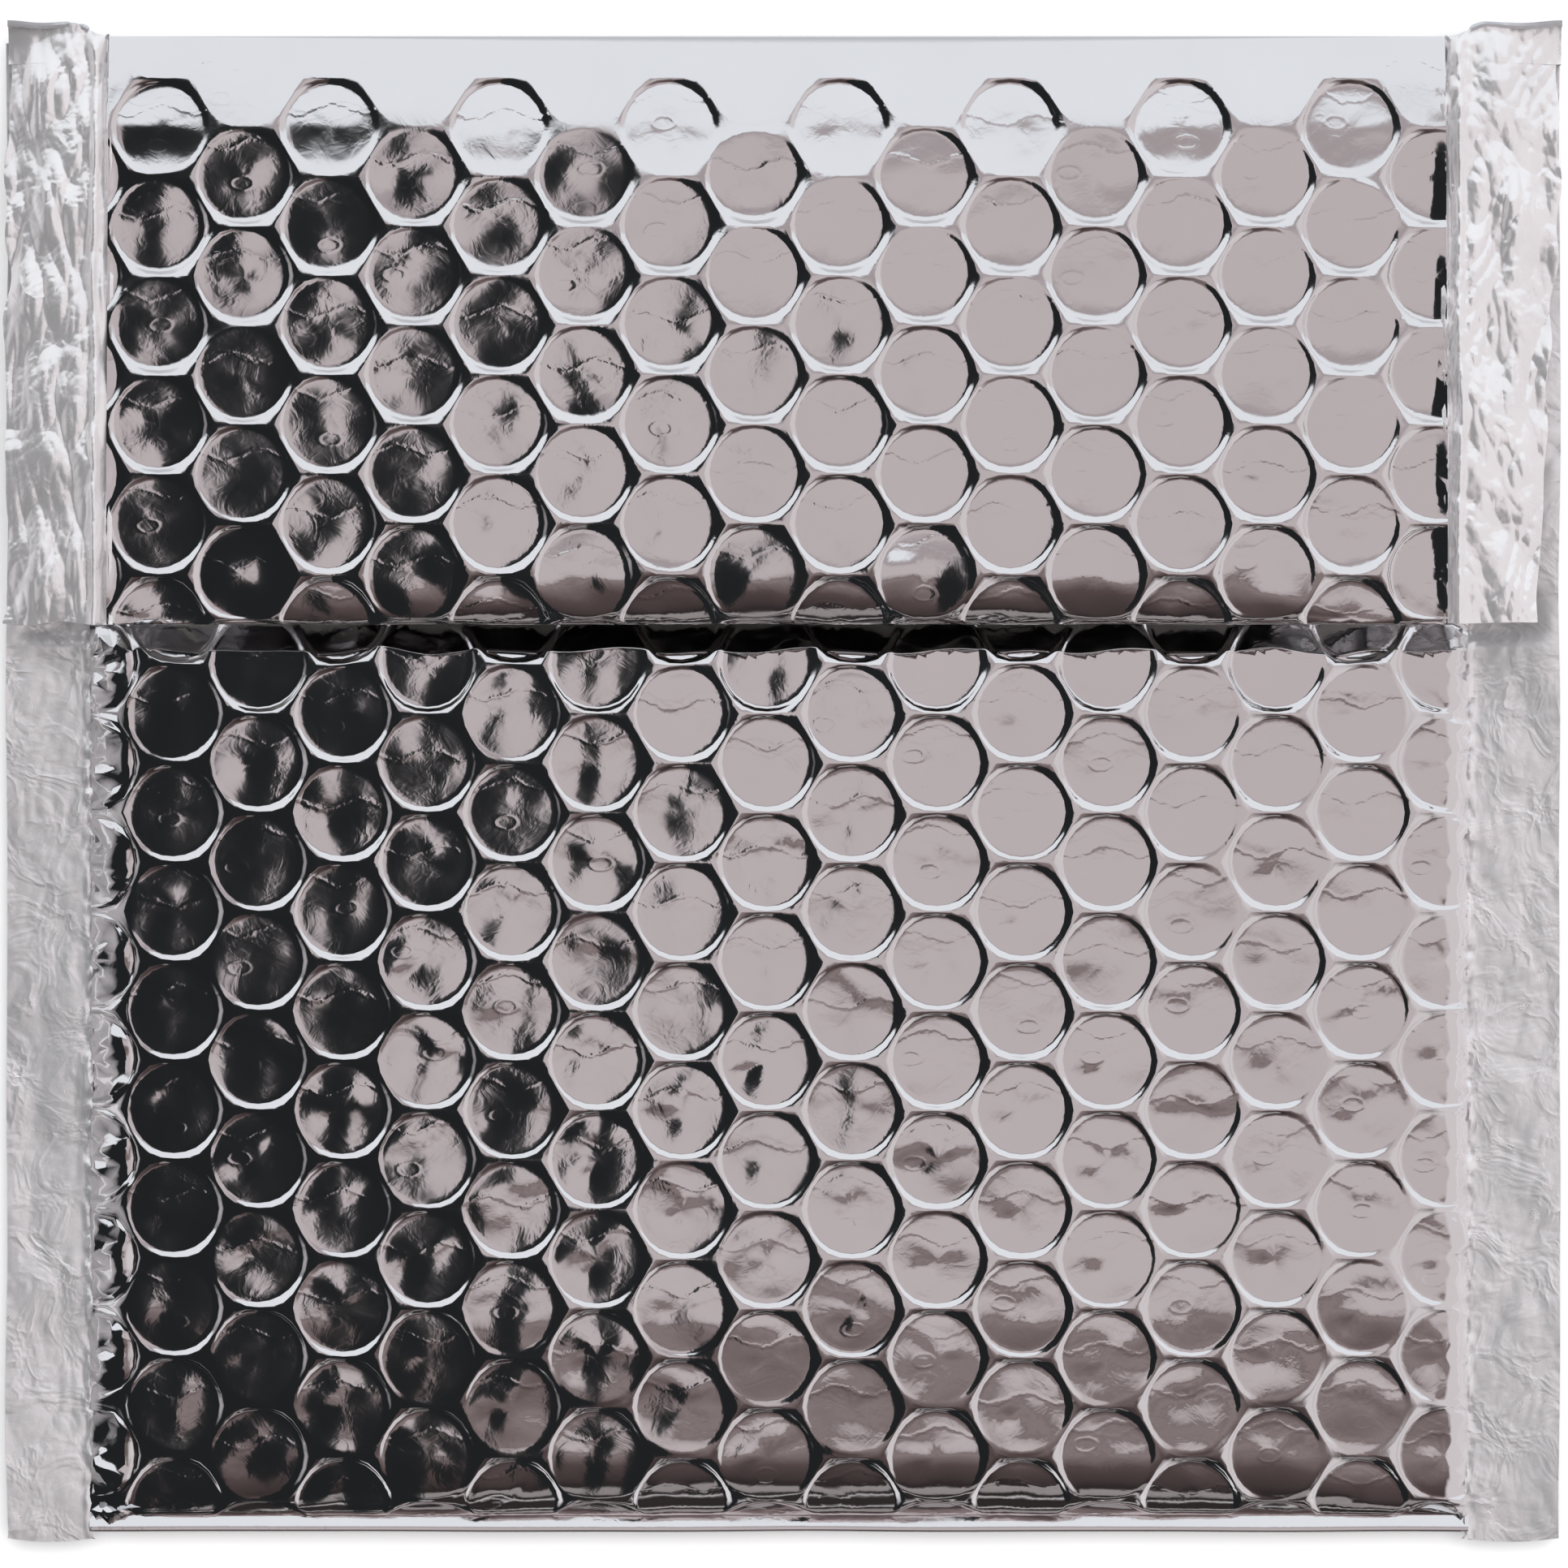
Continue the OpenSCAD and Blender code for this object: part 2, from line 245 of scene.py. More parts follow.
def surface(point, u, v, out):
    """Points of a panel's surface and their unit normals on the side out (1 up, -1 down)."""
    here = np.stack(np.broadcast_arrays(*point(u, v)), -1).astype(float)
    step = 0.02
    along = np.stack(np.broadcast_arrays(*point(u + step, v)), -1) - here
    across = np.stack(np.broadcast_arrays(*point(u, v + step)), -1) - here
    return here, unit(np.cross(along, across) * out)


# ---- meshes

def put(name, points, faces, materials, slots=None):
    """A smooth-shaded mesh object of points in millimetres."""
    mesh = bpy.data.meshes.new(name)
    mesh.from_pydata((np.asarray(points) * MM).tolist(), [], faces)
    for material in materials:
        mesh.materials.append(material)
    if slots is not None:
        mesh.polygons.foreach_set("material_index", np.asarray(slots, np.int32))
    mesh.polygons.foreach_set("use_smooth", np.ones(len(mesh.polygons), bool))
    mesh.validate()
    mesh.set_sharp_from_angle(angle=math.radians(60))
    piece = bpy.data.objects.new(name, mesh)
    bpy.context.scene.collection.objects.link(piece)
    return piece


def read(items, name, kind=np.int32, width=1):
    """The values of one attribute of all items, as an array."""
    values = np.empty(len(items) * width, kind)
    items.foreach_get(name, values)
    return values


def film(name, grid, thickness, materials, out=1):
    """A closed sheet of film: grid holds its outside, and a second material covers its inside."""
    rows, columns = grid.shape[:2]
    inside = grid - unit(np.cross(np.gradient(grid, axis=1), np.gradient(grid, axis=0)) * out) * thickness
    points = np.concatenate((grid.reshape(-1, 3), inside.reshape(-1, 3)))
    number = np.arange(rows * columns).reshape(rows, columns)
    quads = np.stack((number[:-1, :-1], number[:-1, 1:], number[1:, 1:], number[1:, :-1]), -1)
    quads = quads.reshape(-1, 4)
    ring = np.concatenate((number[0, :-1], number[:-1, -1], number[-1, :0:-1], number[:0:-1, 0]))
    after, far = np.roll(ring, -1), rows * columns
    rim = np.stack((ring, ring + far, after + far, after), -1)
    under = quads[:, ::-1] + far
    if out < 0:
        quads, under, rim = quads[:, ::-1], under[:, ::-1], rim[:, ::-1]
    faces = np.concatenate((quads, under, rim)).tolist()
    slots = [0] * len(quads) + [len(materials) - 1] * (len(under) + len(rim))
    return put(name, points, faces, materials, slots)


def mark_cells(mesh, flat, first, pitch_x, pitch_y):
    """Stores each face corner's place in its own cell, in millimetres, and that cell's random number.

    flat holds the corners' places in the unrolled film."""
    starts, totals = read(mesh.polygons, "loop_start"), read(mesh.polygons, "loop_total")
    place = flat[read(mesh.loops, "vertex_index")]
    middle = np.add.reduceat(place, starts) / totals[:, None]
    dx, dy, column, row = nearest_cell(middle[:, 0], middle[:, 1], *first, pitch_x, pitch_y)
    centre = np.repeat(np.stack((middle[:, 0] - dx, middle[:, 1] - dy), -1), totals, 0)
    number = np.modf(np.abs(np.sin(column * 12.9898 + row * 78.233) * 43758.5453))[0]
    data = np.concatenate((place - centre, np.repeat(number, totals)[:, None]), 1).astype(np.float32)
    mesh.attributes.new("cell", "FLOAT_VECTOR", "CORNER").data.foreach_set("vector", data.ravel())


def nearest_cell(x, y, centre_x, centre_y, pitch_x, pitch_y):
    """Offset from the nearest cell's centre, and that cell's column and row."""
    best = None
    for shift in (-1, 0, 1):
        column = np.round((x - centre_x) / pitch_x) + shift
        lower = np.mod(column, 2) / 2 * pitch_y
        row = np.round((y - centre_y + lower) / pitch_y)
        dx = x - centre_x - column * pitch_x
        dy = y - centre_y + lower - row * pitch_y
        found = np.stack((dx, dy, column, row))
        if best is None:
            best = found
        else:
            nearer = np.hypot(dx, dy) < np.hypot(best[0], best[1]) - 1e-6
            best = np.where(nearer, found, best)
    return best


def cell_tile(pitch_x, pitch_y, depth):
    """One six-sided cell of film: a ridge round its edge and a dish inside it."""
    corner = (pitch_x ** 2 + pitch_y ** 2 / 4) / (2 * pitch_x)
    top = (pitch_x ** 2 - pitch_y ** 2 / 4) / (2 * pitch_x)
    tips = np.array([(corner, 0), (top, pitch_y / 2), (-top, pitch_y / 2),
                     (-corner, 0), (-top, -pitch_y / 2), (top, -pitch_y / 2)])
    edge = np.stack((tips, (tips + np.roll(tips, -1, 0)) / 2), 1).reshape(-1, 2)
    angle = np.arctan2(edge[:, 1], edge[:, 0])
    circle = np.stack((np.cos(angle), np.sin(angle)), -1) * pitch_y * 0.5
    points, faces = [(0, 0, -depth)], []
    # share of the cell's radius, share of its depth, roundness
    rings = ((0.42, 0.995, 1), (0.90, 0.99, 1), (0.94, 0.95, 0.95),
             (0.962, 0.68, 0.75), (0.982, 0.22, 0.4), (1, 0, 0))
    for share, sunk, round_off in rings:
        ring = (edge * (1 - round_off) + circle * round_off) * share
        points += [(x - 0.16 * round_off, y + 0.08 * round_off, -depth * sunk) for x, y in ring]
    count = len(edge)
    for i in range(count):
        j = (i + 1) % count
        faces.append((0, 1 + i, 1 + j))
        for band in range(len(rings) - 1):
            a, b = 1 + band * count, 1 + (band + 1) * count
            faces.append((a + i, b + i, b + j, a + j))
    return put("cell_tile", points, faces, [])


def add(tree, kind, inputs=(), **settings):
    """A node whose settings and inputs (by name or number) are given; a socket as a value is linked."""
    made = tree.nodes.new(kind)
    for name, value in settings.items():
        setattr(made, name, value)
    for key, value in dict(inputs).items():
        if isinstance(value, bpy.types.NodeSocket):
            tree.links.new(value, made.inputs[key])
        else:
            made.inputs[key].default_value = value
    return made


def math_node(tree, operation, *values, clamp=False):
    """The result of a math node; each value is a number or a socket."""
    made = add(tree, "ShaderNodeMath", dict(enumerate(values)), operation=operation, use_clamp=clamp)
    return made.outputs[0]


def mix(tree, share, first, second):
    """The colour first where share is 0, second where it is 1."""
    return add(tree, "ShaderNodeMix", {0: share, 6: first, 7: second}, data_type="RGBA").outputs[2]


def lattice_tree():
    """Geometry nodes that lay cell tiles in staggered columns and weld them into one film."""
    tree = bpy.data.node_groups.new("cell_lattice", "GeometryNodeTree")
    face = tree.interface
    face.new_socket(name="Film", in_out="OUTPUT", socket_type="NodeSocketGeometry")
    for name, kind in (("Geometry", "Geometry"), ("Tile", "Object"), ("Columns", "Int"), ("Rows", "Int"),
                       ("Column Pitch", "Float"), ("Cell Pitch", "Float"), ("First Cell", "Vector"),
                       ("Smoothing", "Int"), ("Material", "Material")):
        face.new_socket(name=name, in_out="INPUT", socket_type="NodeSocket" + kind)
    given = tree.nodes.new("NodeGroupInput").outputs

    node, maths = partial(add, tree), partial(math_node, tree)
    width = maths("MULTIPLY", maths("SUBTRACT", given["Columns"], 1.0), given["Column Pitch"])
    height = maths("MULTIPLY", maths("SUBTRACT", given["Rows"], 1.0), given["Cell Pitch"])
    grid = node("GeometryNodeMeshGrid", {"Size X": width, "Size Y": height,
                                         "Vertices X": given["Columns"], "Vertices Y": given["Rows"]})
    spot = node("ShaderNodeSeparateXYZ", {0: node("GeometryNodeInputPosition").outputs[0]})
    along = maths("ADD", spot.outputs["X"], maths("MULTIPLY", width, 0.5))
    column = maths("ROUND", maths("DIVIDE", along, given["Column Pitch"]))
    lower = maths("MULTIPLY", maths("MODULO", column, 2.0), maths("MULTIPLY", given["Cell Pitch"], -0.5))
    first = node("ShaderNodeSeparateXYZ", {0: given["First Cell"]})
    start_x = maths("ADD", first.outputs["X"], maths("MULTIPLY", width, 0.5))
    start_y = maths("ADD", first.outputs["Y"], maths("MULTIPLY", height, 0.5))
    shift = node("ShaderNodeCombineXYZ", {"X": start_x, "Y": maths("ADD", start_y, lower)})
    placed = node("GeometryNodeSetPosition", {"Geometry": grid.outputs["Mesh"], "Offset": shift.outputs[0]})
    tile = node("GeometryNodeObjectInfo", {"Object": given["Tile"]})
    cells = node("GeometryNodeInstanceOnPoints", {"Points": placed.outputs[0],
                                                  "Instance": tile.outputs["Geometry"]})
    solid = node("GeometryNodeRealizeInstances", {"Geometry": cells.outputs[0]})
    joined = node("GeometryNodeMergeByDistance", {"Geometry": solid.outputs[0], "Distance": 0.00002})
    smooth = node("GeometryNodeSubdivisionSurface", {"Mesh": joined.outputs[0], "Level": given["Smoothing"]})
    finished = node("GeometryNodeSetMaterial", {"Geometry": smooth.outputs[0], "Material": given["Material"]})
    tree.links.new(finished.outputs[0], tree.nodes.new("NodeGroupOutput").inputs[0])
    return tree


def cell_film(name, first, columns, rows, low, high, folds, material):
    """Flat mesh of cells, cut to the rectangle from low to high.

    first is the centre of the first column's lowest cell; the film gets edges to bend at along folds."""
    sizes = bpy.context.scene.mailer_sizes
    tile = cell_tile(*cell_sizes())
    carrier = put(name + "_carrier", [(0, 0, 0)], [], [])
    tree = bpy.data.node_groups.get("cell_lattice") or lattice_tree()
    modifier = carrier.modifiers.new("cells", "NODES")
    modifier.node_group = tree
    values = {"Tile": tile, "Columns": columns, "Rows": rows, "Column Pitch": sizes.pitch_x,
              "Cell Pitch": sizes.pitch_y, "First Cell": (first[0] * MM, first[1] * MM, 0.0),
              "Smoothing": sizes.smoothing, "Material": material}
    for item in tree.interface.items_tree:
        if item.in_out == "INPUT" and item.name in values:
            modifier[item.identifier] = values[item.name]
    carrier.update_tag()
    graph = bpy.context.evaluated_depsgraph_get()
    mesh = bpy.data.meshes.new_from_object(carrier.evaluated_get(graph), depsgraph=graph)
    carrier.modifiers.remove(modifier)
    shape = bmesh.new()
    shape.from_mesh(mesh)
    cuts = [((low[0], 0), (-1, 0), True), ((high[0], 0), (1, 0), True),
            ((0, low[1]), (0, -1), True), ((0, high[1]), (0, 1), True)]
    for place, normal, clear in cuts + [((0, line), (0, 1), False) for line in folds]:
        bmesh.ops.bisect_plane(
            shape, geom=shape.verts[:] + shape.edges[:] + shape.faces[:], dist=1e-7, clear_outer=clear,
            plane_co=(place[0] * MM, place[1] * MM, 0), plane_no=(*normal, 0))
    shape.to_mesh(mesh)
    shape.free()
    for spent in (tile, carrier):
        bpy.data.objects.remove(spent)
    return mesh


def cell_sizes():
    """Column pitch, cell pitch and dish depth, in millimetres."""
    sizes = bpy.context.scene.mailer_sizes
    return sizes.pitch_x / MM, sizes.pitch_y / MM, sizes.dish_depth / MM


def cell_count(first, low, high, pitch):
    """Index of the first cell that reaches low, and how many cells reach high from there."""
    start = math.floor((low - first) / pitch) - 1
    return start, math.ceil((high - first) / pitch) + 1 - start + 1


def padded_panel(name, kind, point, low, high, zone, material, out, seed, folds=()):
    """A panel of cells bent to its place.

    low and high cut the unrolled film; zone = (left, right, bottom, top) has cells."""
    pitch_x, pitch_y, full_depth = cell_sizes()
    column0, columns = cell_count(CELL_FIRST[kind][0], low[0], high[0], pitch_x)
    column0 -= column0 % 2
    row0, rows = cell_count(CELL_FIRST[kind][1], low[1], high[1], pitch_y)
    first = (CELL_FIRST[kind][0] + column0 * pitch_x, CELL_FIRST[kind][1] + row0 * pitch_y)
    mesh = cell_film(name, first, columns + 1, rows + 1, low, high, folds, material)
    flat = read(mesh.vertices, "co", np.float32, 3)
    u, v, sunk = flat.reshape(-1, 3).astype(float).T / MM
    dx, dy, column, row = nearest_cell(u, v, first[0], first[1], pitch_x, pitch_y)
    random = np.random.default_rng(seed)
    odd = random.uniform(-1, 1, (12, 64, 64))[:, column.astype(int) % 64, row.astype(int) % 64]
    inside = np.clip(-sunk / full_depth, 0, 1)
    centre_x, centre_y = u - dx, v - dy
    left, right, bottom, top = zone
    edge = ease(np.minimum(u - left, right - u), 0, 1.2) * ease(v - bottom, 0, 1.5) * (centre_y < top)
    # every cell is sunk, tilted, dented, kinked and ruffled a little differently
    depth = sunk * (1 + 0.2 * odd[0]) * (1 - 0.2 * ease(-v, 20, 60))
    sag = 0.21 * (np.clip(-dy, 0, 9) / 5.65) ** 3 * ease(v, -35, 15)
    sag = sag + 0.06 * (np.clip(dx, 0, 9) / 6) ** 3 * ease(-u, -5, 50)
    rise_x = point(centre_x + 0.5, centre_y)[2] - point(centre_x - 0.5, centre_y)[2]
    rise_y = point(centre_x, centre_y + 0.5)[2] - point(centre_x, centre_y - 0.5)[2]
    level = -LEVEL[0] * np.clip(rise_x, -0.2, 0.2) * dx - LEVEL[1] * np.clip(rise_y, -0.2, 0.2) * dy
    level = level * (1 - ease(centre_y, 68, 74))
    tilt = dx * odd[1] * 0.02 + dy * odd[2] * 0.02
    worn = 0.45 + 0.75 * ease(-v, -25, 50)
    away = ((dx + 2.0 + odd[7]) / 1.3) ** 2 + ((dy + 1.2 + odd[8]) / 0.9) ** 2
    dent = -worn * (0.07 + 0.07 * odd[6]) * np.exp(-away)
    turn = odd[4] * 0.6
    across = dy * np.cos(turn) + dx * np.sin(turn) - 2.2 - odd[5] + 0.6 * np.sin(dx * 1.1 + odd[9] * 6)
    kink = worn * (0.07 + 0.06 * odd[3]) * np.exp(-(across / 0.75) ** 2)
    ruffle = 0.012 * drift(u, v, 3.0, seed) + 0.035 * drift(u, v, 7, seed + 5)
    height = (depth + (level * out + sag + tilt + dent + kink + ruffle) * inside) * edge
    height = height + 0.04 * drift(u, v, 16, seed + 9) * ease(high[1] - v, 0, 6)
    # the film is gathered between the cells and the weld
    margin = 1 - ease(np.minimum(u - left, right - u), -0.4, 0.8)
    margin = margin * ease(np.minimum(u - low[0], high[0] - u), 0, 1)
    height = height + margin * 1.5 * crumple(u * 1.6, v * 0.8, 4.0, seed + 11)
    here, normal = surface(point, u, v, out)
    moved = (here + normal * height[:, None]) * MM
    moved[:, 2] = np.maximum(moved[:, 2], 0)
    mesh.vertices.foreach_set("co", moved.astype(np.float32).ravel())
    mark_cells(mesh, np.stack((u, v), -1), first, pitch_x, pitch_y)
    if out < 0:
        mesh.flip_normals()
    mesh.polygons.foreach_set("use_smooth", np.ones(len(mesh.polygons), bool))
    # open edges are sharp, so that the film's thin rim isn't shaded round
    uses = np.bincount(read(mesh.loops, "edge_index"), minlength=len(mesh.edges))
    mesh.edges.foreach_set("use_edge_sharp", uses == 1)
    mesh.name = name
    mesh.update()
    panel = bpy.data.objects.new(name, mesh)
    bpy.context.scene.collection.objects.link(panel)
    skin = panel.modifiers.new("film_thickness", "SOLIDIFY")
    skin.thickness, skin.offset = THICKNESS["foil"] * MM, -1
    return panel


def lining(name, point, low, high, materials, out, depth, floor=None):
    """The flat inner film of a panel, with the round cups' tops just showing through it."""
    u, v = np.meshgrid(np.arange(low[0], high[0] + 0.6, 1.2), np.arange(low[1], high[1] + 0.6, 1.2))
    u, v = np.minimum(u, high[0]), np.minimum(v, high[1])
    pitch_x, pitch_y, _ = cell_sizes()
    dx, dy, _, _ = nearest_cell(u, v, *CELL_FIRST[name.split("_")[0]], pitch_x, pitch_y)
    cup = 0.45 * ease(4.9 - np.hypot(dx, dy), 0, 1.4)
    here, normal = surface(point, u, v, out)
    edge = np.minimum.reduce((u - low[0], high[0] - u, v - low[1] + 4, high[1] - v + 4))
    here = here - normal * (0.3 + (depth - 0.3) * dome(edge, 14) + cup * dome(edge, 4))[..., None]
    if floor is not None:
        here[..., 2] = np.maximum(here[..., 2], floor - 12 * ease(here[..., 1], 38, 50))
    return film(name, here, THICKNESS["lining"], materials, -out)


# ---- materials

def group_tree(name, inputs, outputs):
    """A new shader node group with these named number inputs (name: default) and outputs (name: kind)."""
    tree = bpy.data.node_groups.new(name, "ShaderNodeTree")
    for title, value in inputs.items():
        socket = tree.interface.new_socket(name=title, in_out="INPUT", socket_type="NodeSocketFloat")
        socket.default_value = value
    for title, kind in outputs.items():
        tree.interface.new_socket(name=title, in_out="OUTPUT", socket_type="NodeSocket" + kind)
    return tree, tree.nodes.new("NodeGroupInput"), tree.nodes.new("NodeGroupOutput")


def crinkle_group():
    """Fine creases of thin film, as the Height of a bump."""
    tree, given, result = group_tree("film_creases", {"Size": 0.004, "Sharpness": 3.0, "Stretch": 1.0},
                                     {"Height": "Float"})
    maths = partial(math_node, tree)
    place = add(tree, "ShaderNodeTexCoord").outputs["Object"]
    squeeze = add(tree, "ShaderNodeCombineXYZ", {"X": given.outputs["Stretch"], "Y": 1.0, "Z": 1.0})
    spot = add(tree, "ShaderNodeVectorMath", {0: place, 1: squeeze.outputs[0]}, operation="MULTIPLY")
    folds = add(tree, "ShaderNodeTexNoise", {
        "Vector": spot.outputs[0], "Scale": maths("DIVIDE", 1.0, given.outputs["Size"]), "Detail": 3.0,
        "Roughness": 0.55, "Distortion": 0.6}).outputs["Fac"]
    away = maths("ABSOLUTE", maths("SUBTRACT", folds, 0.5))
    line = maths("MULTIPLY", away, given.outputs["Sharpness"], clamp=True)
    tree.links.new(maths("ADD", folds, maths("SUBTRACT", 1.0, line)), result.inputs["Height"])
    return tree


def scuff_group():
    """Handling marks: Height for a bump and Wear, a soft mottle from 0 to 1."""
    tree, given, result = group_tree("handling_marks", {"Size": 0.01, "Contrast": 1.0},
                                     {"Height": "Float", "Wear": "Float"})
    maths = partial(math_node, tree)
    place = add(tree, "ShaderNodeTexCoord").outputs["Object"]
    scale = maths("DIVIDE", 1.0, given.outputs["Size"])
    cloud = add(tree, "ShaderNodeTexNoise", {"Vector": place, "Scale": scale, "Detail": 5.0,
                                             "Roughness": 0.65}).outputs["Fac"]
    strong = maths("MULTIPLY", maths("SUBTRACT", cloud, 0.5), given.outputs["Contrast"])
    tree.links.new(maths("ADD", strong, 0.5, clamp=True), result.inputs["Wear"])
    scratch = add(tree, "ShaderNodeTexWave", {
        "Vector": place, "Scale": maths("MULTIPLY", scale, 4.0), "Distortion": 14.0, "Detail": 3.0,
        "Detail Scale": 1.4}, wave_profile="SAW").outputs["Fac"]
    tree.links.new(scratch, result.inputs["Height"])
    return tree


def cell_marks_group():
    """Small marks as Height: a wavy crease in each cell and a small ring in about one of three."""
    tree, given, result = group_tree("cell_marks", {"Ring": 1.0, "Crease": 1.0}, {"Height": "Float"})
    maths = partial(math_node, tree)
    stored = add(tree, "ShaderNodeAttribute", attribute_name="cell", attribute_type="GEOMETRY")
    cell = stored.outputs["Vector"]
    place = add(tree, "ShaderNodeSeparateXYZ", {0: cell})
    chance = add(tree, "ShaderNodeTexWhiteNoise", {"W": place.outputs["Z"]}, noise_dimensions="1D")
    centred = add(tree, "ShaderNodeVectorMath", {0: chance.outputs["Color"], 1: (0.5, 0.5, 0.5)},
                  operation="SUBTRACT")
    luck = add(tree, "ShaderNodeSeparateXYZ", {0: centred.outputs[0]})
    wobble = add(tree, "ShaderNodeTexNoise", {"Vector": cell, "Scale": 0.9, "Detail": 2.0}).outputs["Fac"]
    uneven = maths("MULTIPLY", maths("SUBTRACT", wobble, 0.5), 0.9)
    x = maths("ADD", place.outputs["X"], maths("MULTIPLY_ADD", luck.outputs["X"], 4.0, 1.2))
    y = maths("ADD", place.outputs["Y"], maths("MULTIPLY_ADD", luck.outputs["Y"], 4.0, 0.6))
    far = maths("SQRT", maths("ADD", maths("POWER", maths("MULTIPLY", x, 0.8), 2.0),
                              maths("POWER", maths("MULTIPLY", y, 1.35), 2.0)))
    off = maths("DIVIDE", maths("ADD", maths("SUBTRACT", far, 1.0), maths("MULTIPLY", uneven, 0.4)), 0.22)
    ring = maths("EXPONENT", maths("MULTIPLY", maths("MULTIPLY", off, off), -1.0))
    seen = maths("GREATER_THAN", luck.outputs["Z"], 0.18)
    phase = maths("MULTIPLY", luck.outputs["X"], 12.0)
    wave = maths("MULTIPLY", maths("SINE", maths("MULTIPLY_ADD", place.outputs["X"], 0.8, phase)), 0.6)
    high = maths("SUBTRACT", place.outputs["Y"], maths("MULTIPLY_ADD", luck.outputs["Z"], 3.0, 2.4))
    gap = maths("DIVIDE", maths("ADD", maths("ADD", high, wave), uneven), 0.25)
    crease = maths("EXPONENT", maths("MULTIPLY", maths("MULTIPLY", gap, gap), -1.0))
    total = maths("ADD", maths("MULTIPLY", maths("MULTIPLY", ring, seen), given.outputs["Ring"]),
                  maths("MULTIPLY", crease, given.outputs["Crease"]))
    tree.links.new(total, result.inputs["Height"])
    return tree


def use_group(tree, name, maker, **values):
    """A node of the shared group name, which maker builds the first time, with its own input values."""
    made = tree.nodes.new("ShaderNodeGroup")
    made.node_tree = bpy.data.node_groups.get(name) or maker()
    for title, value in values.items():
        made.inputs[title].default_value = value
    return made


def surface_material(name, colours, roughness, metallic, creases, bump, marks=None, cells=None, **shader):
    """A material whose handling marks mix each (low, high) pair of colours and roughness.

    creases and marks are the inputs of those groups; bump is (strength, distance in millimetres) of the
    creases, and of the handling marks after them; cells is the distance of the marks in the cells."""
    found = bpy.data.materials.get(name)
    if found:
        return found
    material = bpy.data.materials.new(name)
    material.use_nodes = True
    tree = material.node_tree
    principled = tree.nodes["Principled BSDF"]
    principled.inputs["Metallic"].default_value = metallic
    for title, value in shader.items():
        principled.inputs[title.replace("_", " ")].default_value = value
    wear = use_group(tree, "handling_marks", scuff_group, **(marks or {"Size": 0.012, "Contrast": 2.2}))
    tone = mix(tree, wear.outputs["Wear"], (*colours[0], 1), (*colours[1], 1))
    tree.links.new(tone, principled.inputs["Base Color"])
    gloss = add(tree, "ShaderNodeMapRange", {"Value": wear.outputs["Wear"], "To Min": roughness[0],
                                             "To Max": roughness[1]})
    tree.links.new(gloss.outputs[0], principled.inputs["Roughness"])
    folds = use_group(tree, "film_creases", crinkle_group, **creases)
    relief = add(tree, "ShaderNodeBump", {"Height": folds.outputs["Height"], "Strength": bump[0],
                                          "Distance": bump[1] * MM})
    if cells:
        dents = use_group(tree, "cell_marks", cell_marks_group, Ring=0.6, Crease=0.8)
        relief = add(tree, "ShaderNodeBump", {"Height": dents.outputs["Height"], "Strength": 1.0,
                                              "Distance": cells * MM, "Normal": relief.outputs[0]})
    if len(bump) > 2:
        relief = add(tree, "ShaderNodeBump", {"Height": wear.outputs["Height"], "Strength": bump[2],
                                              "Distance": bump[3] * MM, "Normal": relief.outputs[0]})
    tree.links.new(relief.outputs[0], principled.inputs["Normal"])
    return material


def film_material(name, colour, worn, roughness, metallic, creases, bump, **more):
    """A film's material: colour names one of the finish settings, worn is its share left where handled."""
    tone = tuple(getattr(bpy.context.scene.mailer_finish, colour))
    return surface_material(name, (tone, tuple(c * worn for c in tone)), roughness, metallic, creases, bump,
                            **more)


def foil():
    """Mirror-bright metallised film over the cells."""
    haze = bpy.context.scene.mailer_finish.foil_roughness
    return film_material("mirror_foil", "foil_colour", 0.97, (haze, haze + 0.05), 1.0,
                         {"Size": 0.003, "Sharpness": 5.0}, (0.25, 0.02), cells=0.02)


def weld_film():
    """Metallised film pressed flat and hazy in the welds."""
    return film_material("weld_film", "weld_colour", 0.88, (0.26, 0.42), 0.78,
                         {"Size": 0.006, "Sharpness": 9.0}, (0.5, 0.12, 0.25, 0.03),
                         marks={"Size": 0.004, "Contrast": 3.0})


def crushed_film():
    """The same film gathered and crushed beside the welds, bright and dark by turns."""
    return film_material("crushed_film", "foil_colour", 0.9, (0.16, 0.34), 0.74,
                         {"Size": 0.006, "Sharpness": 8.0, "Stretch": 1.8}, (0.4, 0.07))


def inner_film():
    """Satin silver film inside the mailer."""
    return film_material("satin_lining", "inner_colour", 0.92, (0.30, 0.42), 0.95,
                         {"Size": 0.005, "Sharpness": 6.0}, (0.4, 0.05), Coat_Weight=0.15)


def adhesive():
    """Pale tacky adhesive."""
    return film_material("tacky_adhesive", "adhesive_colour", 0.9, (0.12, 0.3), 0.0,
                         {"Size": 0.002, "Sharpness": 4.0}, (0.5, 0.04), Coat_Weight=0.5)


def liner_paper():
    """Smooth siliconed paper."""
    return film_material("silicone_paper", "liner_colour", 0.95, (0.4, 0.55), 0.0,
                         {"Size": 0.001, "Sharpness": 3.0}, (0.3, 0.01), Coat_Weight=0.2)


# ---- settings

class MailerSizes(bpy.types.PropertyGroup):
    """Sizes of the cells and films."""

    pitch_x: FloatProperty(name="Column Pitch", description="Distance between columns of cells",
                           default=0.00968, min=0.006, max=0.02, unit="LENGTH")
    pitch_y: FloatProperty(name="Cell Pitch", description="Distance between cells of one column",
                           default=0.0113, min=0.006, max=0.02, unit="LENGTH")
    dish_depth: FloatProperty(name="Dish Depth", description="How far the foil sinks over each cell",
                              default=0.00036, min=0.0001, max=0.002, unit="LENGTH")
    smoothing: IntProperty(name="Smoothing", description="Subdivision of each cell", default=1, min=0, max=2)


def tint(name, description, default):
    """A colour setting."""
    return FloatVectorProperty(name=name, description=description, default=default, min=0, max=1,
                               subtype="COLOR")


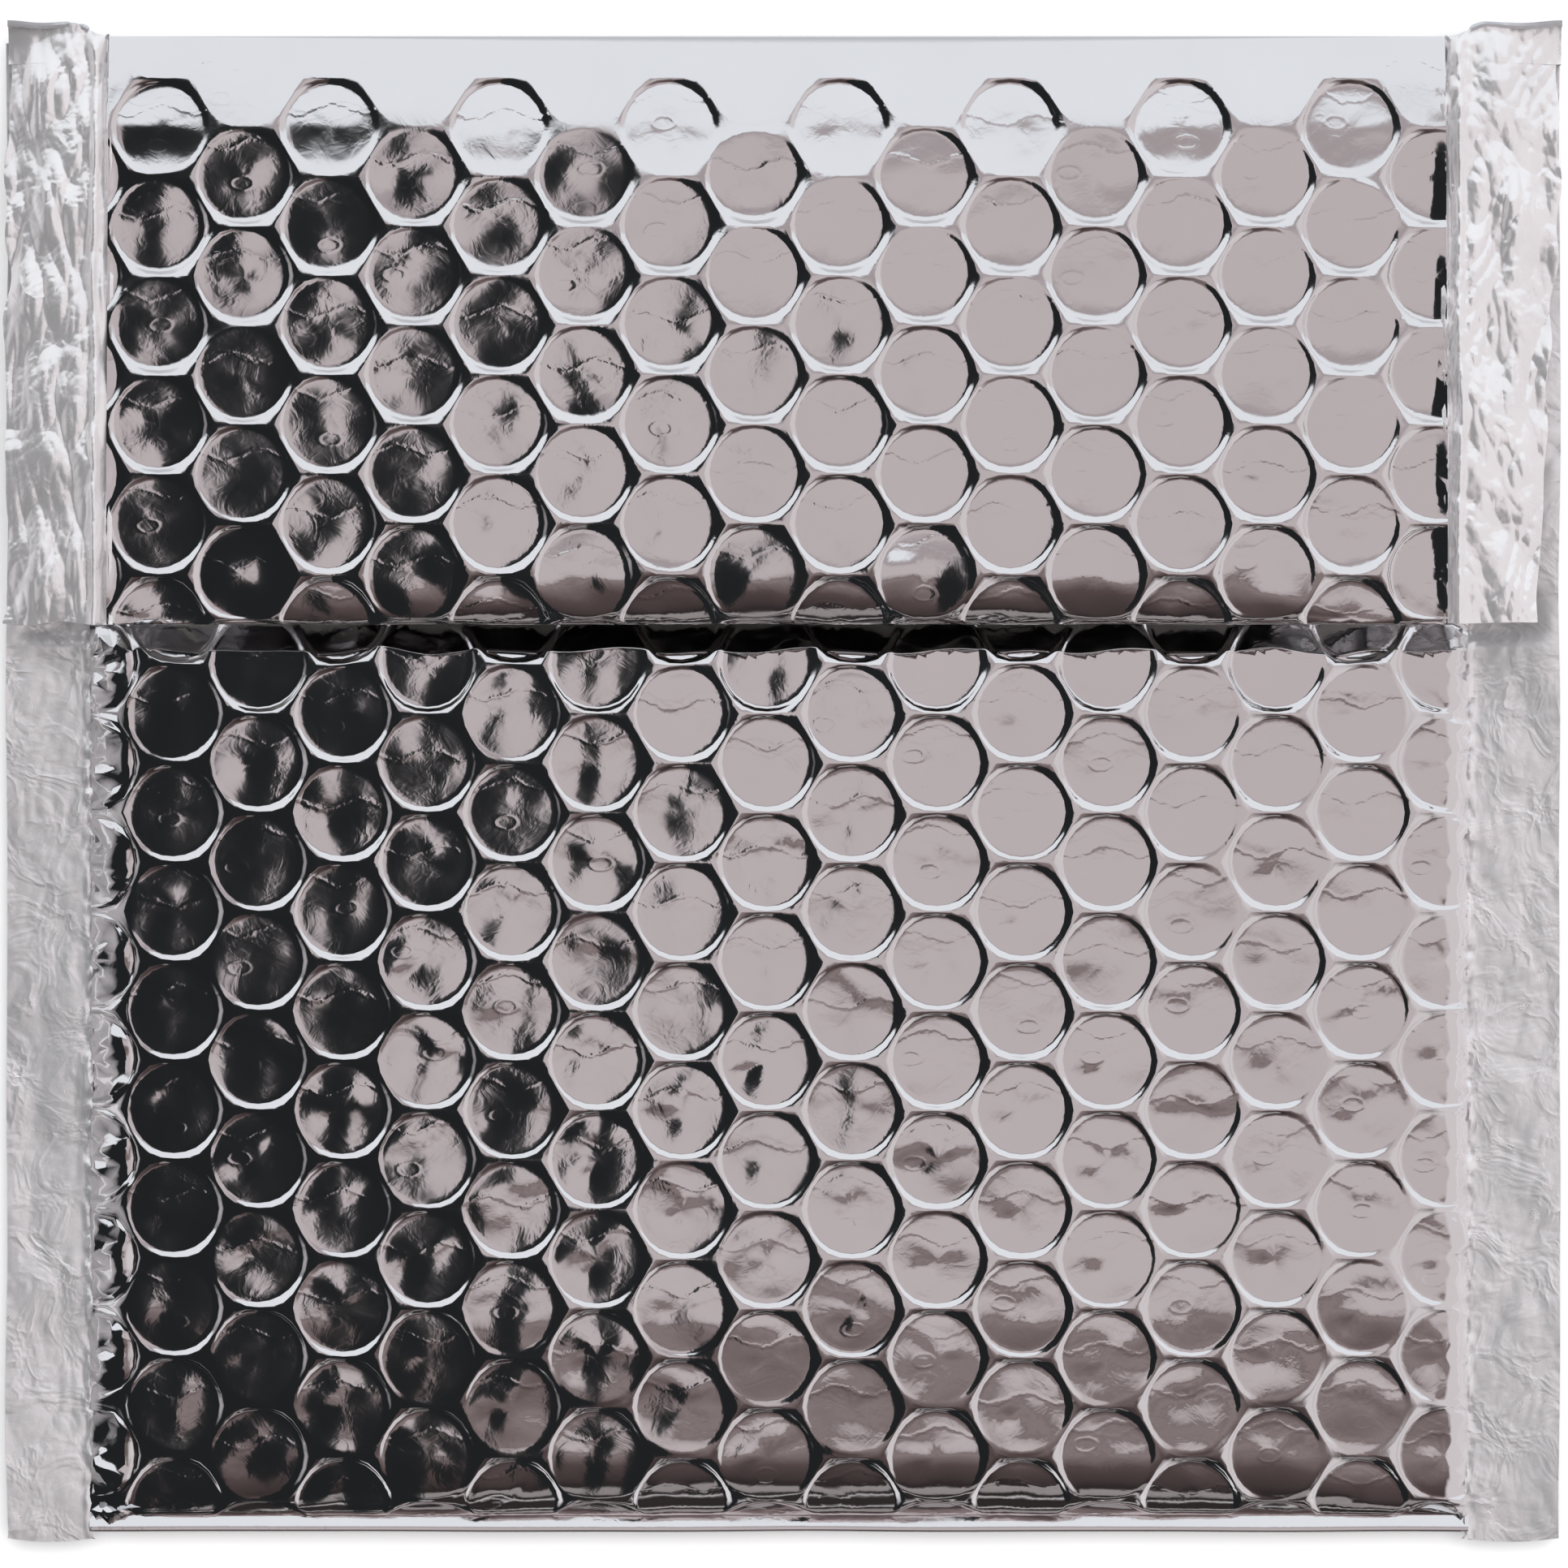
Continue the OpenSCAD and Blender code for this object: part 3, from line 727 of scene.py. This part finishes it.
class MailerFinish(bpy.types.PropertyGroup):
    """Colours and gloss of the films."""

    foil_colour: tint("Foil Colour", "Tint of the mirror-bright foil", (0.93, 0.905, 0.912))
    foil_roughness: FloatProperty(name="Foil Roughness", description="Haze of the mirror-bright foil",
                                  default=0.06, min=0.02, max=0.5, subtype="FACTOR")
    weld_colour: tint("Weld Colour", "Tint of the welded film", (0.95, 0.93, 0.94))
    inner_colour: tint("Lining Colour", "Tint of the inner film", (0.80, 0.80, 0.82))
    adhesive_colour: tint("Adhesive Colour", "Tint of the adhesive strip", (0.86, 0.85, 0.78))
    liner_colour: tint("Liner Colour", "Colour of the release liner", (0.76, 0.75, 0.71))


# ---- pieces

class MAILER_OT_front(bpy.types.Operator):
    """Build the front panel: foil over cells, and its lining"""

    bl_idname = "mailer.front"
    bl_label = "Front Panel"

    def execute(self, context):
        low, high = (BACK_LOW[0], FRONT_ROLL_Y - FRONT_ROLL), (BACK_HIGH[0], MOUTH_Y + MOUTH_ROLL)
        zone = (FRONT_LOW[0], FRONT_HIGH[0], low[1] + 0.6, math.inf)
        panel = padded_panel("front_padding", "front", front_point, low, high, zone, foil(), 1, 21,
                             (PRESS_Y - 0.15, PRESS_Y, PRESS_Y + 0.15, PRESS_Y + PRESS_STEP))
        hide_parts("front_foil", "front_bubble_film")
        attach(panel, "pocket")
        low, high = (BACK_LOW[0] + 0.5, BACK_LOW[1] + 1.2), (BACK_HIGH[0] - 0.5, FRONT_HIGH[1] - 1.0)
        film_piece = lining("front_lining", front_lining_point, low, high, [inner_film()], 1, 4.0)
        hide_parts("front_inner_film")
        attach(film_piece, "pocket")
        return {"FINISHED"}


class MAILER_OT_back(bpy.types.Operator):
    """Build the back panel: foil over cells, and its lining up to the top fold"""

    bl_idname = "mailer.back"
    bl_label = "Back Panel"

    def execute(self, context):
        low, high = (BACK_LOW[0], BACK_LOW[1]), (BACK_HIGH[0], PANEL_END_Y)
        zone = (FRONT_LOW[0], FRONT_HIGH[0], BACK_LOW[1] + 4, 78)
        panel = padded_panel("back_padding", "back", back_point, low, high, zone, foil(), -1, 33)
        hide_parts("back_foil", "back_bubble_film")
        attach(panel, "pocket")
        film_piece = lining("back_lining", back_point, low, high, [inner_film()], -1, 3.6)
        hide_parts("back_inner_film")
        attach(film_piece, "pocket")
        return {"FINISHED"}


class MAILER_OT_flap(bpy.types.Operator):
    """Build the flap: foil over cells with a plain strip beside the fold, and its lining"""

    bl_idname = "mailer.flap"
    bl_label = "Flap"

    def execute(self, context):
        low, high = (FLAP_LOW[0], FLAP_ROLL_Y - FLAP_ROLL), (FLAP_HIGH[0], PANEL_END_Y)
        zone = (FLAP_LOW[0], FLAP_HIGH[0], low[1] + 0.5, 76.5)
        panel = padded_panel("flap_padding", "flap", flap_point, low, high, zone, foil(), 1, 45)
        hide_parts("flap_foil", "flap_bubble_film")
        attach(panel, "flap")
        low = (FLAP_LOW[0], FLAP_LOW[1] + 0.5)
        film_piece = lining("flap_lining", flap_lining_point, low, high, [inner_film()], 1, 3.9,
                            floor=STRIP_Z + 0.02)
        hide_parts("flap_inner_film")
        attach(film_piece, "flap")
        return {"FINISHED"}


def weld_strip(name, outer, inner, seed):
    """One long weld of the pocket: flat film, gathered beside the padding, with a curled outer edge."""
    share, v = np.meshgrid(np.linspace(0, 1, 40), np.linspace(0, 1, 420))
    x = outer + (inner - outer) * share + 0.12 * drift(v * 170, share, 30, seed) * (1 - share)
    end = WELD_END_Y + 0.3 + 1.2 * np.abs(share - 0.5) ** 1.5
    y = end + (FOLD_Y - 0.4 - end) * v
    z = WELD_Z + 0.14 * crumple(x, y * 0.7, 9, seed) + 0.10 * drift(x, y, 14, seed + 3)
    z = z + 0.8 * ease(share, 0.86, 1.0) * crumple(x * 2, y, 4, seed + 5)
    z = z + 0.35 * drift(y, share * 0, 60, seed + 8) * (1 - share)
    z = z - 1.6 * ease(y, 16.0, 17.8) * (1 - ease(y, 20, 24)) * ease(share, 0.05, 0.6)
    grid = np.stack((x, y, z), -1)
    return film(name, grid if inner > outer else grid[:, ::-1], THICKNESS["weld"], [weld_film()])


class MAILER_OT_welds(bpy.types.Operator):
    """Build the two side welds of the pocket and the folded lip at the bottom"""

    bl_idname = "mailer.welds"
    bl_label = "Side Welds and Lip"

    def execute(self, context):
        left = weld_strip("left_weld", WELD_LEFT, BACK_LOW[0] + 0.4, 3)
        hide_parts("left_seal")
        right = weld_strip("right_weld", WELD_RIGHT, BACK_HIGH[0] - 0.4, 4)
        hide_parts("right_seal")
        along, round_it = np.meshgrid(np.linspace(BACK_LOW[0], BACK_HIGH[0], 320), np.linspace(0, 1, 24))
        # how far in from the lip's edge and how far above the welds, round the lip
        profile = ((2.6, -0.2), (1.5, 0.08), (0.55, 0.38), (0.12, 0.42),
                   (0.0, 0.25), (0.12, 0.0), (1.2, -0.4), (2.6, -0.75))
        steps = np.linspace(0, 1, len(profile))
        inset, above = (np.interp(round_it, steps, measures) for measures in zip(*profile))
        y = LIP_Y + inset + 0.05 * drift(along, round_it, 22, 6)
        z = WELD_Z + above + 0.07 * drift(along, round_it * 3, 25, 7)
        lip = film("bottom_lip", np.stack((along, y, z), -1)[::-1], THICKNESS["lip"], [foil()])
        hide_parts("bottom_fold")
        for piece in (left, right, lip):
            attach(piece, "pocket")
        return {"FINISHED"}


def gathered(x, y, outer, inner, seed):
    """Relief of the gathered film from the flap's outer edge to its padding, in the weld and the ear."""
    share = (x - outer) / (inner - outer)
    relief = 0.30 * drift(x * 1.3, y * 0.6, 8, seed + 2) + 0.70 * crumple(x * 1.2, y * 0.5, 9, seed + 12)
    relief = relief + 0.07 * crumple(x, y * 0.7, 3.2, seed + 15) - 2.6 * (1 - dome(share, 0.8))
    crease = 0.8 * np.exp(-((share - 0.86 + 0.015 * drift(y, y * 0, 20, seed + 4)) / 0.045) ** 2)
    second = 0.7 * np.exp(-((share - 0.97 + 0.01 * drift(y, y * 0, 14, seed + 6)) / 0.03) ** 2)
    return relief + crease - second


def flap_weld(name, outer, inner, seed):
    """One crushed weld of the flap: deep lengthwise creases beside the padding, and puckers across it."""
    share, v = np.meshgrid(np.linspace(0, 1, 90), np.linspace(0, 1, 460))
    narrow = TAPER * (1 - v) * (outer > 0)
    edge = outer - narrow + 0.35 * drift(v * 67, share * 0, 9, seed) * (1 - share)
    x = edge + (inner - edge) * share
    start = FLAP_LOW[1] + 0.2
    y = start + (PANEL_END_Y - start) * v + 0.25 * drift(x, v, 6, seed + 1) * (1 - v)
    z = np.interp(y, *zip(*FLAP_SIDES)) + gathered(x, y, edge, inner, seed)
    grid = np.stack((x, y, z), -1)
    return film(name, grid if inner > outer else grid[:, ::-1], THICKNESS["flap_weld"], [crushed_film()])


class MAILER_OT_flap_welds(bpy.types.Operator):
    """Build the crushed side welds of the flap"""

    bl_idname = "mailer.flap_welds"
    bl_label = "Flap Welds"

    def execute(self, context):
        for side, outer, inner, seed in (("left", FLAP_WELD_LEFT, FLAP_LOW[0] + 0.3, WELD_SEEDS[0]),
                                         ("right", FLAP_WELD_RIGHT, FLAP_HIGH[0] - 0.3, WELD_SEEDS[1])):
            piece = flap_weld("flap_%s_weld" % side, outer, inner, seed)
            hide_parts("flap_%s_seal" % side)
            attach(piece, "flap")
        return {"FINISHED"}


def fold_film(name, left, right, upper, bow, outer, seed, materials):
    """The upper half of the rounded top fold, which joins the flap, or the lower half, on the back.

    It goes from left to right. bow is how far an ear stands out past the fold, outer its free side."""
    columns = max(60, int((right - left) / 0.8))
    x, t = np.meshgrid(np.linspace(left, right, columns), np.linspace(0, 1, 24))
    inner = left if outer == right else right
    share = (x - outer) / (inner - outer)
    nose_y = FOLD_Y - 0.02 + bow * (1 - ease(share, 0.62, 1.0)) * (0.9 + 0.1 * np.cos(share * 9))
    angle = t * math.pi / 2
    y = FOLD_START_Y + (nose_y - FOLD_START_Y) * np.sin(angle)
    start_z = flap_height(x, y) - 0.03 if upper else back_height(x, y) + 0.03
    z = NOSE_Z + (start_z - NOSE_Z) * np.cos(angle) ** 0.3
    if bow:
        past = inner + (0.3 if inner > outer else -0.3)
        z = z + gathered(x, y, outer, past, seed) * np.cos(angle) * (1 if upper else -0.25 * np.sin(angle))
    return film(name, np.stack((x, y, z), -1), THICKNESS["fold"], materials, 1 if upper else -1)


class MAILER_OT_fold(bpy.types.Operator):
    """Build the top fold and its ears"""

    bl_idname = "mailer.fold"
    bl_label = "Top Fold"

    def execute(self, context):
        ear, (left_seed, right_seed) = EAR_Y - FOLD_Y, WELD_SEEDS
        spans = (("film", FLAP_LOW[0], FLAP_HIGH[0], 0, FLAP_LOW[0], 0, "fold_foil", "fold_inner_film"),
                 ("left_ear", FLAP_WELD_LEFT, FLAP_LOW[0], ear, FLAP_WELD_LEFT, left_seed, "fold_left_ear"),
                 ("right_ear", FLAP_HIGH[0], FLAP_WELD_RIGHT, ear, FLAP_WELD_RIGHT, right_seed,
                  "fold_right_ear"))
        for part, left, right, bow, outer, seed, *nodes in spans:
            films = [foil() if part == "film" else crushed_film(), inner_film()]
            low = fold_film("fold_lower_" + part, left, right, False, bow, outer, seed, films)
            high = fold_film("fold_upper_" + part, left, right, True, bow, outer, seed, films)
            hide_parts(*nodes)
            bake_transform(low)
            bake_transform(high)
        return {"FINISHED"}


class MAILER_OT_closing(bpy.types.Operator):
    """Finish the adhesive strip and its release liner"""

    bl_idname = "mailer.closing"
    bl_label = "Closing Strip"

    def execute(self, context):
        for node, material, slot in (("adhesive_strip", adhesive(), "adhesive"),
                                     ("release_liner", liner_paper(), "liner")):
            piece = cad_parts[node]
            piece.data.materials.clear()
            piece.data.materials.append(material)
        return {"FINISHED"}


# ---- stage

def studio_world():
    """Plain surroundings for the reflections, as bands of colour by direction.

    Grey overhead, white past the top edge, pale at the right and black at the left; past the near edge
    it is dark, with a pale band and a thin white line. The pale table shows low down at both sides."""
    world = bpy.data.worlds.new("studio")
    world.use_nodes = True
    tree = world.node_tree
    maths, blend = partial(math_node, tree), partial(mix, tree)
    way = add(tree, "ShaderNodeSeparateXYZ", {0: add(tree, "ShaderNodeTexCoord").outputs["Generated"]})
    x, y, z = (maths("MULTIPLY_ADD", way.outputs[axis], 0.5, 0.5) for axis in "XYZ")

    def ramp(value, *stops):
        """Colours by value; each stop is (place, colour)."""
        made = add(tree, "ShaderNodeValToRGB", {0: value})
        points = made.color_ramp.elements
        while len(points) < len(stops):
            points.new(0.5)
        for point, (place, colour) in zip(points, stops):
            point.position = place
            point.color = (*colour, 1)
        return made.outputs[0]

    off, on = (0, 0, 0), (1, 1, 1)
    overhead, white = (0.515, 0.468, 0.479), (0.78, 0.82, 0.86)
    gloom, soot = (0.02, 0.016, 0.016), (0.014, 0.016, 0.017)
    length = ramp(
        y, (0.0, (0.03, 0.025, 0.025)), (0.010, gloom), (0.016, (0.62, 0.60, 0.61)), (0.022, gloom),
        (0.038, gloom), (0.046, (0.27, 0.25, 0.25)), (0.090, (0.30, 0.28, 0.28)), (0.100, gloom),
        (0.16, (0.05, 0.038, 0.038)), (0.30, (0.09, 0.066, 0.066)), (0.40, (0.20, 0.16, 0.16)),
        (0.425, (0.27, 0.22, 0.22)), (0.432, (0.06, 0.04, 0.04)), (0.442, (0.40, 0.35, 0.35)),
        (0.47, overhead), (0.60, overhead), (0.64, (0.36, 0.32, 0.33)), (0.675, (0.40, 0.37, 0.38)),
        (0.70, white), (0.80, (0.80, 0.85, 0.89)), (1.0, (0.72, 0.78, 0.83)))
    pale = blend(ramp(x, (0.64, off), (0.74, on)), length, (0.64, 0.61, 0.62, 1))
    dark = ramp(x, (0.0, (0.42, 0.41, 0.42)), (0.02, (0.30, 0.29, 0.30)), (0.07, soot), (0.5, soot))
    flagged = blend(ramp(x, (0.451, on), (0.456, off)), pale, dark)
    wall = ramp(y, (0.68, white), (0.945, white), (0.97, (0.62, 0.65, 0.68)), (1.0, (0.52, 0.54, 0.57)))
    walled = blend(ramp(y, (0.665, off), (0.69, on)), flagged, wall)
    aside = ramp(maths("ABSOLUTE", way.outputs["X"]), (0.30, off), (0.50, on))
    table = maths("MULTIPLY", ramp(z, (0.44, on), (0.49, off)), aside)
    sky = blend(table, walled, (0.72, 0.71, 0.73, 1))
    tree.links.new(sky, tree.nodes["Background"].inputs["Color"])
    bpy.context.scene.world = world


class MAILER_OT_studio(bpy.types.Operator):
    """Build the floor, the surroundings, the light and the camera"""

    bl_idname = "mailer.studio"
    bl_label = "Studio"

    def execute(self, context):
        reach, under = 1500, -0.05
        square = [(x * reach, y * reach, under) for x, y in ((-1, -1), (1, -1), (1, 1), (-1, 1))]
        paint = surface_material("white_floor", ((0.9, 0.9, 0.9), (0.88, 0.88, 0.88)), (0.8, 0.9), 0.0,
                                 {"Size": 0.02}, (0.02, 0.01))
        floor = put("floor", square, [(0, 1, 2, 3)], [paint])
        floor.visible_glossy = False
        studio_world()
        light = bpy.data.lights.new("overhead_light", "AREA")
        light.shape, light.size, light.energy = "DISK", 1.6, 34.0
        lamp = bpy.data.objects.new("overhead_light", light)
        lamp.location = (0.1, 0.15, 1.6)
        lamp.visible_glossy = False
        context.scene.collection.objects.link(lamp)
        camera = bpy.data.cameras.new("camera")
        camera.sensor_width = 36
        distance, framed = 1.2, 0.17905  # down to half the mailer's height, and the width seen there
        camera.lens = camera.sensor_width * distance / framed
        eye = bpy.data.objects.new("camera", camera)
        eye.location = (0.00009, 0.00019, distance + 0.009)
        context.scene.collection.objects.link(eye)
        context.scene.camera = eye
        context.scene.view_settings.view_transform = "Standard"
        return {"FINISHED"}


class MAILER_PT_panel(bpy.types.Panel):
    """Sizes, finish and pieces of the mailer"""

    bl_idname = "MAILER_PT_panel"
    bl_label = "Padded Mailer"
    bl_space_type = "VIEW_3D"
    bl_region_type = "UI"
    bl_category = "Mailer"

    def draw(self, context):
        for group in (context.scene.mailer_sizes, context.scene.mailer_finish):
            for name in group.__annotations__:
                self.layout.prop(group, name)
        for operator in OPERATORS:
            self.layout.operator(operator.bl_idname)


OPERATORS = (MAILER_OT_front, MAILER_OT_back, MAILER_OT_flap, MAILER_OT_welds, MAILER_OT_flap_welds,
             MAILER_OT_fold, MAILER_OT_closing, MAILER_OT_studio)
CLASSES = (MailerSizes, MailerFinish, *OPERATORS, MAILER_PT_panel)


def register():
    for item in CLASSES:
        bpy.utils.register_class(item)
    bpy.types.Scene.mailer_sizes = PointerProperty(type=MailerSizes)
    bpy.types.Scene.mailer_finish = PointerProperty(type=MailerFinish)


def unregister():
    del bpy.types.Scene.mailer_finish
    del bpy.types.Scene.mailer_sizes
    for item in reversed(CLASSES):
        bpy.utils.unregister_class(item)


def main():
    register()
    pieces = bpy.ops.mailer
    for build in (pieces.front, pieces.back, pieces.flap, pieces.welds, pieces.flap_welds, pieces.fold,
                  pieces.closing, pieces.studio):
        build()


if __name__ == "__main__":
    main()
